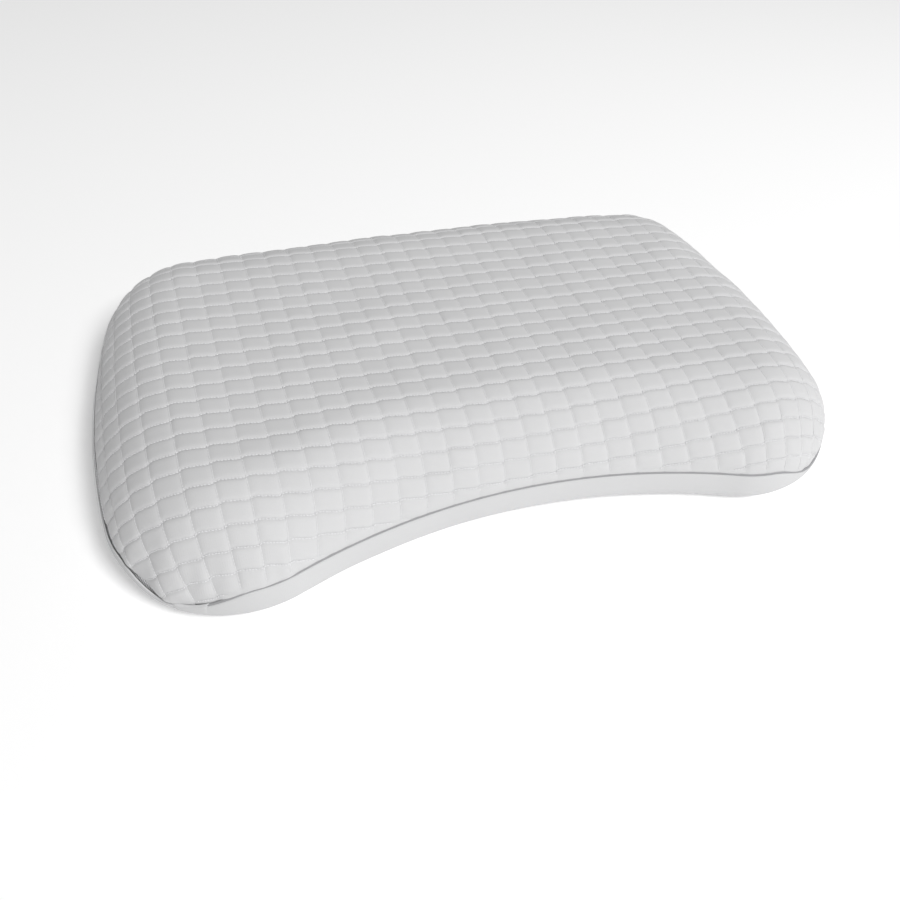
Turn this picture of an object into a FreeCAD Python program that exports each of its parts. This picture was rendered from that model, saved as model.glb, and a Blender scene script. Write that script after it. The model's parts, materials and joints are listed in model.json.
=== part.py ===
"""Contour memory-foam bed pillow in a zipped two-part knit cover.

Millimetres, +Z up, +X along the length, hollowed front edge towards -Y.
The origin is at the middle of the outline's box, on the resting surface.

The plan outline is a closed chain of tangent arcs. Every padded layer is one
section swept round that outline, each arc as a revolve about its own vertical
axis, closed by a flat middle. A section point is (r, z): r is measured
outward from the outline, so it is negative inside it.
"""
import FreeCAD
import Part

import math
import os

# ---- overall form
length = 642.0
corner_depth = 421.0        # between the sharp corners that the roundings replace
height = 86.0
end_taper = -8.0            # how much further out the front corners are than the back ones
back_bow = 14.5
end_bow = 33.5
front_hollow = 82.0
back_corner_r = 86.5
front_corner_r = 99.0
girth_z = 15.0              # height of the widest line
top_rounding = 79.0         # plan width of the rounded shoulder
tuck = 13.0                 # how far the bottom face is set in from the widest line
top_fullness = 0.67
side_fullness = 0.32
under_fullness = 0.41

# ---- layers, as depth below the outer surface
face_fabric_t = 0.8
wadding_t = 2.8
backing_t = 0.5
liner_t = 0.6
panel_t = 1.0
layer_gap = 0.4
under_gap = 3.6             # the bottom has no wadding, so its layers lie this much closer
liner_tuck = 2.0            # how much further in the liner and foam stand on the bottom
wadding_end_up = 11.0       # wadding and backing stop this far above the seam line

# ---- quilting
column_pitch = 21.5
row_pitch = 16.4
thread_w = 0.6
thread_t = 0.4
thread_lift = 0.1

# ---- seam and zip
seam_z = 32.0
seam_gap = 3.4              # between the two hems where they are sewn or nearly closed
slider_gap = 9.2            # between the two hems where the slider runs
opening_cut = 3.0           # how far the cleared strip reaches either side of the surface
welt_clear = 0.4            # between the welt and each hem
welt_depth = 1.3
coil_w = 1.9
coil_t = 1.8
coil_split = 1.0            # clear slot between the coils for the slider's post
hem_clear = 0.3             # between a hem's inner face and the chain behind it
tape_reach = 8.0            # tape edge from the middle of the chain
tape_t = 0.4
tape_gap = 0.3
zip_start_deg = 56.0        # how far round the front corner the chain reaches
stop_len = 3.0
stop_clear = 0.8
garage_deg = 16.0
garage_t = 0.6
garage_reach = 9.0
garage_lift = 0.3
stitch_reach = 6.6
stitch_w = 0.6
stitch_t = 0.4
stitch_lift = 0.1

# ---- slider and pull
slider_len = 9.5
slider_w = 7.6
plate_t = 1.0
slide_clear = 0.3
post_len = 3.0
post_w = 0.4
ear_w = 1.0
pin_r = 0.6
pin_clear = 0.3
pull_len = 22.0
pull_w = 5.4
pull_t = 1.0
eye_wall = 1.0
eye_clear = 0.2
ear_wall = 0.7
inner_plate_t = 0.6
bore_over = 1.0             # how far the bore's cutter passes each end of the eye

# ---- care label
label_w = 28.0
label_drop = 22.0
label_t = 0.5
label_out = 1.0
label_below = 0.4           # its top edge, below the middle of the seam
label_at = 0.30             # share of the way along the right end from the back

welt_d = seam_gap - 2 * welt_clear

UP = FreeCAD.Vector(0, 0, 1)
FUSE_TOLERANCE = 1e-4
FACE_STEPS = 8


def xy(x, y):
    return FreeCAD.Vector(x, y, 0)


class Arc:
    """One arc of the outline. outward is +1 where it bulges, -1 where it is hollow."""

    def __init__(self, centre, radius, start, end, outward=1):
        self.centre = centre
        self.radius = radius
        self.start = start
        self.outward = outward
        turn = (end - start) % 360
        self.span = turn if turn <= 180 else turn - 360

    def part(self, low, high):
        """The stretch between two shares of the arc."""
        a = self.start + self.span * low
        b = self.start + self.span * high
        return Arc(self.centre, self.radius, a, b, self.outward)

    def point(self, share, r=0.0, z=0.0):
        angle = math.radians(self.start + self.span * share)
        reach = self.radius + self.outward * r
        x = self.centre.x + reach * math.cos(angle)
        y = self.centre.y + reach * math.sin(angle)
        return FreeCAD.Vector(x, y, z)


def circle_meet(c1, r1, c2, r2, near):
    """Where two circles cross, on the side of near."""
    gap = c2 - c1
    dist = gap.Length
    along = (r1 * r1 - r2 * r2 + dist * dist) / (2 * dist)
    side = math.sqrt(r1 * r1 - along * along)
    unit = gap * (1 / dist)
    across = xy(-unit.y, unit.x) * side
    found = [c1 + unit * along + across, c1 + unit * along - across]
    return min(found, key=lambda p: (p - near).Length)


def angle_of(centre, point):
    return math.degrees(math.atan2(point.y - centre.y, point.x - centre.x))


def mirrored(arc):
    """The same arc on the other side of X = 0, still running the same way round."""
    centre = xy(-arc.centre.x, arc.centre.y)
    end = arc.start + arc.span
    return Arc(centre, arc.radius, 180 - end, 180 - arc.start, arc.outward)


def make_outline():
    """The arcs in order: back, then round by the left end to the front and the right end."""
    mean_x = length / 2 - end_bow
    back_x = mean_x - end_taper / 2
    front_x = mean_x + end_taper / 2
    half = corner_depth / 2
    back_point = xy(-back_x, half)
    front_point = xy(-front_x, -half)

    back_r = (back_x ** 2 + back_bow ** 2) / (2 * back_bow)
    back_c = xy(0, half + back_bow - back_r)
    chord = (back_point - front_point).Length / 2
    end_r = (chord ** 2 + end_bow ** 2) / (2 * end_bow)
    along = (back_point - front_point) * (1 / (2 * chord))
    outward = xy(-along.y, along.x)
    end_c = (back_point + front_point) * 0.5 - outward * (end_r - end_bow)
    front_r = (front_x ** 2 + front_hollow ** 2) / (2 * front_hollow)
    front_c = xy(0, -half + front_hollow - front_r)

    back_corner_c = circle_meet(
        back_c, back_r - back_corner_r, end_c, end_r - back_corner_r, back_point
    )
    front_corner_c = circle_meet(
        front_c, front_r + front_corner_r, end_c, end_r - front_corner_r, front_point
    )
    a_back = angle_of(back_c, back_corner_c)
    a_end_high = angle_of(end_c, back_corner_c)
    a_end_low = angle_of(end_c, front_corner_c)
    a_front = angle_of(front_c, front_corner_c)

    low_y = front_corner_c.y - front_corner_r
    shift = xy(0, -(half + back_bow + low_y) / 2)
    back = Arc(back_c + shift, back_r, 180 - a_back, a_back)
    left_back = Arc(back_corner_c + shift, back_corner_r, a_back, a_end_high)
    left_end = Arc(end_c + shift, end_r, a_end_high, a_end_low)
    left_front = Arc(front_corner_c + shift, front_corner_r, a_end_low, a_front + 180)
    front = Arc(front_c + shift, front_r, a_front, 180 - a_front, -1)
    return {
        "back": back,
        "left_back": left_back,
        "left_end": left_end,
        "left_front": left_front,
        "front": front,
        "right_front": mirrored(left_front),
        "right_end": mirrored(left_end),
        "right_back": mirrored(left_back),
    }


OUTLINE = make_outline()
RING = list(OUTLINE.values())


# ---- the section
def bezier(points, u):
    """A cubic's point and its outward unit normal in the section plane."""
    (x0, z0), (x1, z1), (x2, z2), (x3, z3) = points
    v = 1 - u
    x = v ** 3 * x0 + 3 * v * v * u * x1 + 3 * v * u * u * x2 + u ** 3 * x3
    z = v ** 3 * z0 + 3 * v * v * u * z1 + 3 * v * u * u * z2 + u ** 3 * z3
    dx = 3 * (v * v * (x1 - x0) + 2 * v * u * (x2 - x1) + u * u * (x3 - x2))
    dz = 3 * (v * v * (z1 - z0) + 2 * v * u * (z2 - z1) + u * u * (z3 - z2))
    size = math.hypot(dx, dz)
    return (x, z), (-dz / size, dx / size)


def shoulder_curve():
    """From the flat top's edge, level, down to the widest line, upright."""
    rise = height - girth_z
    return [
        (-top_rounding, height),
        (-top_rounding * (1 - top_fullness), height),
        (0.0, girth_z + rise * side_fullness),
        (0.0, girth_z),
    ]


def under_curve(side=0.0, floor=0.0, inset=None):
    """From the widest line, upright, down and in to the bottom face, level."""
    inset = tuck if inset is None else inset
    drop = girth_z - floor
    return [
        (-side, girth_z),
        (-side, girth_z - drop * under_fullness),
        (-inset + (inset - side) * under_fullness, floor),
        (-inset, floor),
    ]


def run(curve, low=0.0, high=1.0):
    steps = [low + (high - low) * i / FACE_STEPS for i in range(FACE_STEPS + 1)]
    return [bezier(curve, u)[0] for u in steps]


SHOULDER = shoulder_curve()
UNDER = under_curve()


def face_at(share):
    """The outer face as one line: 0 to 1 down the shoulder, 1 to 2 round the underside."""
    if share <= 1.0:
        return bezier(SHOULDER, share)
    return bezier(UNDER, share - 1.0)


def face_point(share, depth=0.0):
    (x, z), (nx, nz) = face_at(share)
    return x - depth * nx, z - depth * nz


def share_at(z):
    """How far down the outer face a height lies."""
    low, high = 0.0, 2.0
    for _ in range(40):
        middle = (low + high) / 2
        if face_at(middle)[0][1] > z:
            low = middle
        else:
            high = middle
    return (low + high) / 2


def face_runs(depth, low, high):
    """The stretch of the face between two shares, split at the widest line."""
    ends = [low] + ([1.0] if low < 1.0 < high else []) + [high]
    runs = []
    for start, stop in zip(ends, ends[1:]):
        steps = [start + (stop - start) * i / FACE_STEPS for i in range(FACE_STEPS + 1)]
        runs.append([face_point(share, depth) for share in steps])
    return runs


def skin(depth, thickness, low, high):
    """A closed section for a layer that follows the outer face."""
    outer = face_runs(depth, low, high)
    inner = face_runs(depth + thickness, low, high)
    back = [list(reversed(piece)) for piece in reversed(inner)]
    return outer + [[outer[-1][-1], back[0][0]]] + back + [[back[-1][-1], outer[0][0]]]


SEAM_SHARE = share_at(seam_z)
SEAM_POINT, SEAM_NORMAL = face_at(SEAM_SHARE)


def seam_place(depth, up):
    """A section point in the flat frame of the chain: depth inward, up along the surface."""
    nx, nz = SEAM_NORMAL
    return SEAM_POINT[0] - depth * nx - up * nz, SEAM_POINT[1] - depth * nz + up * nx


def hem_share(up):
    return share_at(seam_place(0.0, up)[1])


# ---- swept solids
def section_face(arc, pieces):
    """A closed face from runs of section points. Two points make a line, more make a curve."""
    edges = []
    for piece in pieces:
        points = [arc.point(0.0, r, z) for r, z in piece]
        if len(points) == 2:
            edges.append(Part.makeLine(points[0], points[1]))
        else:
            curve = Part.BSplineCurve()
            curve.interpolate(points)
            edges.append(curve.toShape())
    return Part.Face(Part.Wire(edges))


def sweep(arc, pieces):
    return section_face(arc, pieces).revolve(arc.centre, UP, arc.span)


def box_pieces(depth_0, depth_1, up_0, up_1):
    corners = [
        seam_place(depth_0, up_0),
        seam_place(depth_0, up_1),
        seam_place(depth_1, up_1),
        seam_place(depth_1, up_0),
    ]
    return [[corners[i], corners[(i + 1) % 4]] for i in range(4)]


def joined(shapes):
    """One solid from touching ones. A fuse tolerance is used only where the exact fuse fails."""
    shapes = list(shapes)
    if len(shapes) == 1:
        return shapes[0]
    exact = shapes[0].multiFuse(shapes[1:]).removeSplitter()
    if exact.isValid():
        return exact
    return shapes[0].multiFuse(shapes[1:], FUSE_TOLERANCE).removeSplitter()


def band(route, depth_0, depth_1, up_0, up_1):
    return joined(sweep(arc, box_pieces(depth_0, depth_1, up_0, up_1)) for arc in route)


def flat_middle(inset, z_low, z_high):
    """A plate filling the outline set in by inset."""
    edges = []
    for arc in RING:
        points = [arc.point(share, -inset) for share in (0.0, 0.5, 1.0)]
        edges.append(Part.Arc(*points).toShape())
    plate = Part.Face(Part.Wire(edges)).extrude(UP * (z_high - z_low))
    plate.translate(UP * z_low)
    return plate


def top_layer(depth, thickness, end_up):
    """One layer of the top panel. Its lower edge is end_up above the middle of the seam."""
    solids = [flat_middle(top_rounding, height - depth - thickness, height - depth)]
    section = skin(depth, thickness, 0.0, hem_share(end_up))
    solids += [sweep(arc, section) for arc in RING]
    return joined(solids)


def slider_opening():
    """The strip cleared of both hems along the back, where the slider runs."""
    reach = slider_gap / 2
    return band([OUTLINE["back"]], -opening_cut, opening_cut, -reach, reach)


# depth of each layer's outer face
WADDING_AT = face_fabric_t + layer_gap
BACKING_AT = WADDING_AT + wadding_t + layer_gap
LINER_AT = BACKING_AT + backing_t + layer_gap
FOAM_AT = LINER_AT + liner_t + layer_gap


def inner_under(depth):
    """The underside of the foam and its liner, clear of the seam's inner parts."""
    return under_curve(depth, depth - under_gap, tuck + liner_tuck)


def top_panel():
    return top_layer(0.0, face_fabric_t, seam_gap / 2).cut(slider_opening())


def bottom_panel():
    solids = [flat_middle(tuck, 0.0, panel_t)]
    section = skin(0.0, panel_t, hem_share(-seam_gap / 2), 2.0)
    solids += [sweep(arc, section) for arc in RING]
    return joined(solids).cut(slider_opening())


def liner_top():
    inner = LINER_AT + liner_t
    solids = [flat_middle(top_rounding, height - inner, height - LINER_AT)]
    for arc in RING:
        solids.append(sweep(arc, skin(LINER_AT, liner_t, 0.0, 1.0)))
    return joined(solids)


def liner_bottom():
    inner = LINER_AT + liner_t
    inset = tuck + liner_tuck
    solids = [flat_middle(inset, LINER_AT - under_gap, inner - under_gap)]
    for arc in RING:
        outer_run = run(inner_under(LINER_AT))
        inner_run = run(inner_under(inner), 1.0, 0.0)
        pieces = [
            outer_run,
            [outer_run[-1], inner_run[0]],
            inner_run,
            [inner_run[-1], outer_run[0]],
        ]
        solids.append(sweep(arc, pieces))
    return joined(solids)


def foam_core():
    """A solid: the flat middle fills it inside the shoulder, the sweeps fill the rim."""
    floor = FOAM_AT - under_gap
    roof = height - FOAM_AT
    solids = [flat_middle(top_rounding, floor, roof)]
    for arc in RING:
        top = face_runs(FOAM_AT, 0.0, 1.0)[0]
        low = run(inner_under(FOAM_AT))
        foot = (-top_rounding, floor)
        pieces = [top, low, [low[-1], foot], [foot, top[0]]]
        solids.append(sweep(arc, pieces))
    return joined(solids)


# ---- quilting threads on the flat top
def quilting(lengthwise):
    reach_x = length
    reach_y = corner_depth
    pitch = row_pitch if lengthwise else column_pitch
    across = reach_y if lengthwise else reach_x
    base = height + thread_lift + (0.0 if lengthwise else thread_t + thread_lift)
    field = flat_middle(top_rounding, base, base + thread_t)
    count = int(across / 2 / pitch)
    lines = []
    for i in range(-count, count + 1):
        middle = i * pitch
        if lengthwise:
            corner = FreeCAD.Vector(-reach_x / 2, middle - thread_w / 2, base)
            line = Part.makeBox(reach_x, thread_w, thread_t, corner)
        else:
            corner = FreeCAD.Vector(middle - thread_w / 2, -reach_y / 2, base)
            line = Part.makeBox(thread_w, reach_y, thread_t, corner)
        kept = line.common(field)
        lines.extend(kept.Solids)
    return Part.makeCompound(lines)


# ---- seam and zip
BACK = OUTLINE["back"]
BACK_LENGTH = BACK.radius * math.radians(abs(BACK.span))


def back_share(distance):
    """The share of the back arc at a distance from its right-hand end."""
    return distance / BACK_LENGTH


CORNER = OUTLINE["left_front"]
CORNER_LENGTH = CORNER.radius * math.radians(abs(CORNER.span))
ZIP_SHARE = zip_start_deg / abs(CORNER.span)


def past_chain(distance):
    """The share of the front corner's arc at a distance past the chain's closed end."""
    return ZIP_SHARE + distance / CORNER_LENGTH


TOP_STOP = (back_share(stop_clear), back_share(stop_clear + stop_len))
CHAIN_FROM = TOP_STOP[1] + back_share(stop_clear)
ZIP_ROUTE = [
    BACK.part(CHAIN_FROM, 1.0),
    OUTLINE["left_back"],
    OUTLINE["left_end"],
    CORNER.part(0.0, ZIP_SHARE),
]
SEWN_ROUTE = [
    CORNER.part(past_chain(2 * stop_clear + stop_len), 1.0),
    OUTLINE["front"],
    OUTLINE["right_front"],
    OUTLINE["right_end"],
    OUTLINE["right_back"],
]
COIL_DEPTH = panel_t + hem_clear
COIL_NEAR = coil_split / 2
COIL_FAR = COIL_NEAR + coil_w
TAPE_AT = COIL_DEPTH + coil_t + tape_gap
BOTTOM_STOP = (past_chain(stop_clear), past_chain(stop_clear + stop_len))


def welt():
    solids = []
    r, z = seam_place(welt_depth, 0.0)
    for arc in SEWN_ROUTE:
        circle = Part.makeCircle(
            welt_d / 2, arc.point(0.0, r, z), xy(*tangent(arc, 0.0))
        )
        face = Part.Face(Part.Wire([circle]))
        solids.append(face.revolve(arc.centre, UP, arc.span))
    return joined(solids)


def tangent(arc, share):
    angle = math.radians(arc.start + arc.span * share)
    return -math.sin(angle), math.cos(angle)


def stop(route):
    return band(route, COIL_DEPTH, COIL_DEPTH + coil_t, -COIL_FAR, COIL_FAR)


def stitching():
    """A row of topstitching on each hem, following the surface."""
    rows = []
    for side in (-1, 1):
        middle = side * stitch_reach
        high = hem_share(middle + stitch_w / 2)
        low = hem_share(middle - stitch_w / 2)
        section = skin(-stitch_lift - stitch_t, stitch_t, high, low)
        rows.append(joined(sweep(arc, section) for arc in ZIP_ROUTE[:3]))
    return Part.makeCompound(rows)


def garage():
    """The fabric patch that covers the chain's closed end at the front corner."""
    half = garage_deg / 2 / abs(CORNER.span)
    arc = CORNER.part(ZIP_SHARE - half, ZIP_SHARE + half)
    high = hem_share(garage_reach)
    low = hem_share(-garage_reach)
    return sweep(arc, skin(-garage_lift - garage_t, garage_t, high, low))


# ---- slider and pull, drawn at the origin: X along travel, Y outward, Z up the surface
def at_slider(shape):
    """Tilt a shape to the chain's frame and set it at the parked place."""
    nx, nz = SEAM_NORMAL
    shape = shape.copy()
    shape.rotate(FreeCAD.Vector(), FreeCAD.Vector(1, 0, 0), math.degrees(math.atan2(nz, nx)))
    share = CHAIN_FROM + back_share(slider_len / 2 + stop_clear)
    place = BACK.point(share, SEAM_POINT[0], SEAM_POINT[1])
    turn = BACK.start + BACK.span * share - 90
    shape.rotate(FreeCAD.Vector(), UP, turn)
    shape.translate(place)
    return shape


OUTER_PLATE = -COIL_DEPTH + slide_clear
INNER_PLATE = -(TAPE_AT + tape_t + slide_clear)
PIN_Y = OUTER_PLATE + plate_t + pin_r + pin_clear + eye_wall + eye_clear


def slider():
    outer = Part.makeBox(
        slider_len, plate_t, slider_w, FreeCAD.Vector(-slider_len / 2, OUTER_PLATE, -slider_w / 2)
    )
    inner = Part.makeBox(
        slider_len,
        inner_plate_t,
        slider_w,
        FreeCAD.Vector(-slider_len / 2, INNER_PLATE - inner_plate_t, -slider_w / 2),
    )
    post = Part.makeBox(
        post_len,
        OUTER_PLATE - INNER_PLATE,
        post_w,
        FreeCAD.Vector(slider_len / 2 - post_len, INNER_PLATE, -post_w / 2),
    )
    solids = [outer, inner, post]
    ear_gap = pull_w / 2 + pin_clear
    ear_r = pin_r + ear_wall
    for side in (-1, 1):
        low = side * ear_gap if side > 0 else -ear_gap - ear_w
        root = Part.makeBox(
            2 * ear_r,
            PIN_Y - OUTER_PLATE,
            ear_w,
            FreeCAD.Vector(-ear_r, OUTER_PLATE, low),
        )
        head = Part.makeCylinder(ear_r, ear_w, FreeCAD.Vector(0, PIN_Y, low), UP)
        solids += [root, head]
    pin = Part.makeCylinder(
        pin_r, 2 * ear_gap, FreeCAD.Vector(0, PIN_Y, -ear_gap), UP
    )
    solids.append(pin)
    return joined(solids)


def pull():
    eye_r = pin_r + pin_clear + eye_wall
    eye = Part.makeCylinder(eye_r, pull_w, FreeCAD.Vector(0, PIN_Y, -pull_w / 2), UP)
    tab = Part.makeBox(
        pull_len,
        pull_t,
        pull_w,
        FreeCAD.Vector(-pull_len, PIN_Y - pull_t / 2, -pull_w / 2),
    )
    body = eye.fuse(tab)
    bore_from = FreeCAD.Vector(0, PIN_Y, -pull_w / 2 - bore_over)
    bore = Part.makeCylinder(pin_r + pin_clear, pull_w + 2 * bore_over, bore_from, UP)
    return body.cut(bore)


# ---- care label, sewn into the right end's seam
def label():
    arc = OUTLINE["right_end"]
    share = 1 - label_at
    middle = arc.point(share, label_out, 0.0)
    top = seam_z - label_below
    tag = Part.makeBox(
        label_w, label_t, label_drop, FreeCAD.Vector(-label_w / 2, -label_t / 2, top - label_drop)
    )
    tag.rotate(FreeCAD.Vector(), UP, arc.start + arc.span * share - 90)
    tag.translate(middle)
    return tag


def main():
    os.makedirs("parts", exist_ok=True)
    tape_back = TAPE_AT + tape_t
    nodes = {
        "foam_core": foam_core(),
        "inner_liner_top": liner_top(),
        "inner_liner_bottom": liner_bottom(),
        "top_face_fabric": top_panel(),
        "top_wadding": top_layer(WADDING_AT, wadding_t, wadding_end_up),
        "top_backing": top_layer(BACKING_AT, backing_t, wadding_end_up),
        "bottom_panel": bottom_panel(),
        "quilting_thread_lengthwise": quilting(True),
        "quilting_thread_crosswise": quilting(False),
        "seam_welt": welt(),
        "zipper_tape_upper": band(ZIP_ROUTE, TAPE_AT, tape_back, COIL_NEAR, tape_reach),
        "zipper_tape_lower": band(ZIP_ROUTE, TAPE_AT, tape_back, -tape_reach, -COIL_NEAR),
        "zipper_coil_upper": band(
            ZIP_ROUTE, COIL_DEPTH, COIL_DEPTH + coil_t, COIL_NEAR, COIL_FAR
        ),
        "zipper_coil_lower": band(
            ZIP_ROUTE, COIL_DEPTH, COIL_DEPTH + coil_t, -COIL_FAR, -COIL_NEAR
        ),
        "zipper_top_stop": stop([BACK.part(*TOP_STOP)]),
        "zipper_bottom_stop": stop([CORNER.part(*BOTTOM_STOP)]),
        "zipper_stitching": stitching(),
        "zipper_garage": garage(),
        "zipper_slider": at_slider(slider()),
        "zipper_pull": at_slider(pull()),
        "care_label": label(),
    }
    for name, shape in nodes.items():
        shape.exportStep("parts/" + name + ".step")
        box = shape.BoundBox
        print(
            name, len(shape.Solids), "valid" if shape.isValid() else "INVALID",
            round(shape.Volume / 1000, 2), "cm3",
            [round(v, 1) for v in (box.XMin, box.XMax, box.YMin, box.YMax, box.ZMin, box.ZMax)],
        )


main()
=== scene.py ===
"""Looks for the contour pillow: quilted top panel, plain bottom panel, seam, zip and label.

Metres throughout, in the frame of the CAD. The overall box comes from the frame. The rest of the
outline and section repeat the CAD's named sizes, because this script can't read that file.
"""

import json
import math

import bmesh
import bpy
import numpy as np
from mathutils import Matrix, Vector
from mathutils.geometry import delaunay_2d_cdt


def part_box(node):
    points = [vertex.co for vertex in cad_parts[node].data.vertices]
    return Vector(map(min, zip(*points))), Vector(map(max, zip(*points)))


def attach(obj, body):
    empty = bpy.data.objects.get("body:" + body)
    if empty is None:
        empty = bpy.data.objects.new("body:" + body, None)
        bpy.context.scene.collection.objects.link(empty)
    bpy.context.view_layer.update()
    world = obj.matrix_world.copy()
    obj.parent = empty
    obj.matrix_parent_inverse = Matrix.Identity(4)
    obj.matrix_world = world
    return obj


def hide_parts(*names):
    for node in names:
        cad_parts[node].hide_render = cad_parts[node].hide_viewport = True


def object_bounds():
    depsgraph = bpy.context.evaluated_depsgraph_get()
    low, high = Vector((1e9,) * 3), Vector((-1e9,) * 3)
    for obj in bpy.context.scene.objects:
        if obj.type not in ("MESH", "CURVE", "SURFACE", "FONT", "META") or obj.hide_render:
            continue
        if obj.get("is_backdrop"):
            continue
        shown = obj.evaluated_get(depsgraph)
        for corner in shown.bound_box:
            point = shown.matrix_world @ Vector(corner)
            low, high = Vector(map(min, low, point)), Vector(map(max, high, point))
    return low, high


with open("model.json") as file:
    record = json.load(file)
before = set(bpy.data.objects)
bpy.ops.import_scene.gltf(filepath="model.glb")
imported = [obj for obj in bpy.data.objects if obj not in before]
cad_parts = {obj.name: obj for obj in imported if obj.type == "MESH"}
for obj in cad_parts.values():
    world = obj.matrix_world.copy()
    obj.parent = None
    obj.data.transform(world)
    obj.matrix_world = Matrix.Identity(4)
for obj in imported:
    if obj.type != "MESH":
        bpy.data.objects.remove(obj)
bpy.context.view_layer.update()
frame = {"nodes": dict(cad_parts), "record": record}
rng = np.random.default_rng(11)

# ---- form, as in the CAD
low_corner, high_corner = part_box("bottom_panel")
LENGTH = high_corner[0] - low_corner[0]
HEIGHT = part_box("top_face_fabric")[1][2]
CORNER_DEPTH = 0.421
END_TAPER = -0.008
BACK_BOW = 0.0145
END_BOW = 0.0335
FRONT_HOLLOW = 0.082
BACK_CORNER_R = 0.0865
FRONT_CORNER_R = 0.099
GIRTH_Z = 0.015
TOP_ROUNDING = 0.079
TUCK = 0.013
TOP_FULLNESS = 0.67
SIDE_FULLNESS = 0.32
UNDER_FULLNESS = 0.41
SEAM_Z = 0.032
SEAM_DIP = 0.0145           # how much lower the seam runs round each front corner
DIP_REACH = 0.33            # share of the corner's arc to each side of the lowest point
CORNER_PULL = 0.0045        # how far the cloth under the zip is drawn in at the left end
PULL_FADE_FROM = 0.15       # share of the front-left corner's arc where that begins to fade
PULL_FADE = 0.5             # share of the arc over which it fades
HEM = 0.0010                # each hem from the middle of the sewn seam
ZIP_HEM = 0.0017            # the same along the zip
SLIDER_HEM = 0.0046         # the same, along the back where the slider runs
HEM_EASE = 0.012            # length over which one becomes the other
SECTION_STEPS = 400
TINY = 1e-6

# ---- quilting
COLUMN = 0.02146
ROW = 0.01637
QUILT_SHIFT = (-0.01878, -0.00429)
QUILT_SKEW = math.radians(-2.64)
QUILT_TURN = math.radians(-0.48)
PUFF = 0.0019
CROSS_DIP = 0.58            # share of the puff that a crosswise stitch line takes away
LONG_DIP = 0.62             # the same for a lengthwise one
SINK = 0.0010               # how far the face is drawn in down the walls
WAVE = 0.045                # how far a lengthwise line swings in each cell, in cells
WAVE_JUMP = 0.4             # share of a second, quicker swing, which makes the line jump back
CROSS_EDGE = 3.4            # the higher, the closer to a crosswise line the puff stays full
LONG_EDGE = 5.0             # the same for a lengthwise one
CELL_SPREAD = 0.10          # how much the cells differ in puff and tilt
GROOVE = 0.0005
GROOVE_WIDTH = 0.0008
HEM_FADE = 0.010            # length over which the puff dies away towards the hem
HEM_PUFF = 0.25             # share of it that is left there
EASE = 0.0007               # slow unevenness of the whole face
EASE_SIZE = 0.045
SINK_LENGTH = 0.06          # how far down the wall the face is drawn in fully

# ---- gathers round the corners
OTHER_GATHER = 0.4          # share that is kept away from the front-left corner
MOST_GATHER = 0.4
FULL_GATHER = 0.25          # gathering at which the folds reach their full height
FOLD_FROM = 0.040           # how far down the wall they begin
FOLD_RISE = 0.045
BROAD_FOLD = (0.0022, 0.021, 0.22)      # height, width, and how much they change down the wall
FINE_FOLD = (0.0008, 0.009, 0.30)
NOISE_CELLS = 128

# ---- meshes
HEM_STEP = 0.0016
CLOTH_REACH = (0.40, 0.27)  # half the flat cloth's length and depth, past every edge
CROWDING = 0.55             # how much closer together the grid is near a stitch line
RIM_MARGIN = 0.0009         # bare rim between the grid and the hem
HEM_TURN = ((0.0006, 0.0005), (0.0014, 0.0), (0.0014, -0.006))      # depth, and way past the hem
BOTTOM_STEP = 0.0025
BOTTOM_ROWS = 18
BOTTOM_TURN = ((0.0012, 0.006), (0.0012, 0.0), (0.0005, -0.0004))   # depth, and way past the hem
BOTTOM_BULGE = 0.0004
BOTTOM_UNEVEN = 0.8
BOTTOM_NOISE = 0.03
PULL_ROWS = 0.6             # share of the way down at which the drawn-in cloth is fully in
UNDER_STEP = 0.012
UNDER_REACH = (0.33, 0.21)
UNDER_MARGIN = 0.004
ROUTE_STEP = 0.003
CORD_DEPTH = 0.0013
CORD_RADIUS = 0.0010

# ---- threads
THREAD_SIDES = 6
SPINDLE = ((0, 0.35, -0.4), (0.2, 0.9, 0.3), (0.5, 1, 0.6), (0.8, 0.9, 0.3), (1, 0.35, -0.4))
THREAD_LOOP_STEP = 0.004
THREAD_MARGIN = 0.003       # how far the quilting stops short of the hem
THREAD_LIFT = 0.6           # how far a thread stands out of the cloth, in radii
THREAD_GAP = 0.07           # bare share at each end of a stitch
TOPSTITCH_STEP = 0.0028
TOPSTITCH_REACH = 0.0066
TOPSTITCH_GAP = 0.12
TOPSTITCH_RADIUS = 0.00028
TOPSTITCH_LIFT = {-1: 0.0005, 1: 0.0008}

# ---- zip
CHAIN_GAP = 0.0046          # from the back's right-hand end to the chain
SEWN_AFTER = 0.027          # share of the corner's arc from the chain's end to the sewn seam
STOP_AFTER = 0.0045         # the same to the bottom stop
STOP_STEP = 0.003
STOP_POINTS = 6
STOP_REACH = 0.0024
STOP_T = 0.0018
COIL_PITCH = 0.0014
COIL_DEPTH = 0.0013
COIL_SIDES = 5
COIL_THICK = 0.00034
# one loop of the coil, as up from the chain's middle and down from its face. It stays clear of
# the slot in the middle, in which the slider's post runs.
COIL_LOOP = (
    (0.0021, 0.0013), (0.0016, 0.0005), (0.0011, 0.0004), (0.0009, 0.0009), (0.0011, 0.0014)
)
TAPE_DEPTH = 0.0034
TAPE_T = 0.0004
TAPE_REACH = 0.008
TAPE_NEAR = 0.0005
GARAGE_HALF = math.radians(8.0)
GARAGE_COLUMNS, GARAGE_ROWS = 28, 22
GARAGE_UP, GARAGE_DOWN = 0.0015, -0.009
GARAGE_SUNK = -0.0008       # how far its edges lie below the cloth
GARAGE_RISE = 0.0013
GARAGE_T = 0.0005
GARAGE_EDGE = 3             # columns and rows over which it turns down
EDGE_ROUND = 0.00022

# ---- care label
LABEL_COLUMNS, LABEL_ROWS = 16, 14
LABEL_T = 0.0004
LABEL_INSET = 0.0012
LABEL_CURL = 0.0009

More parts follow.
